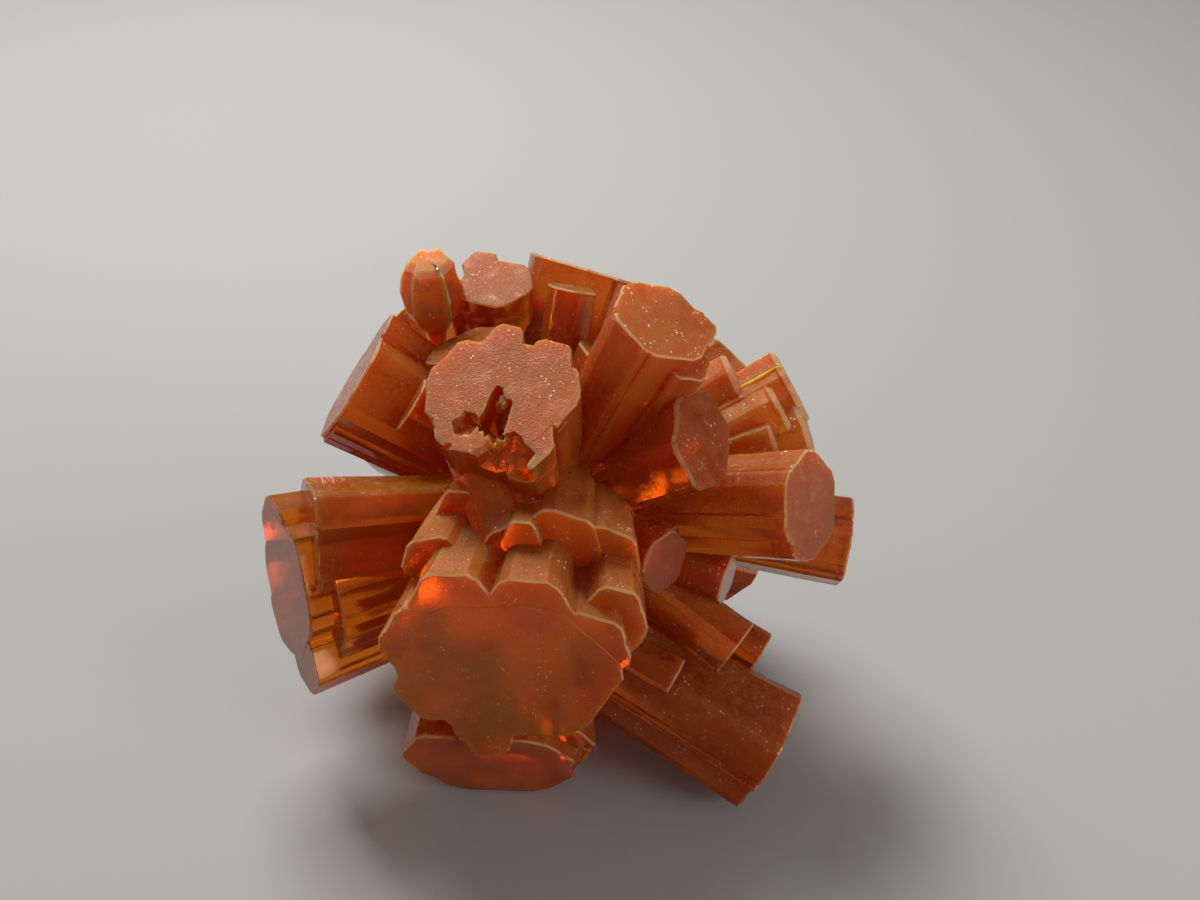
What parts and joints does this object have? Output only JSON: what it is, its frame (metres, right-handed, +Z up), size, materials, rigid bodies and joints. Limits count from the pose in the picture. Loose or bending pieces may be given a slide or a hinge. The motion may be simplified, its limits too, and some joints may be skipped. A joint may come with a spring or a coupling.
{
  "type": "aragonite crystal cluster",
  "caption": "Star-shaped cluster of flat-ended six-sided aragonite crystals grown out of one point, standing on the end of the lowest one.",
  "frame": {"origin": "centre of the bounding box, on the surface that the cluster stands on", "axes": "+Z up, the viewer of the picture at -Y, +X to the viewer's right"},
  "size_m": [0.029, 0.0239, 0.0244],
  "materials": {
    "aragonite": "translucent orange-brown crystal, frosted on the flat ends"
  },
  "bodies": {
    "root": {"crystal_cluster": "aragonite"}
  },
  "joints": []
}
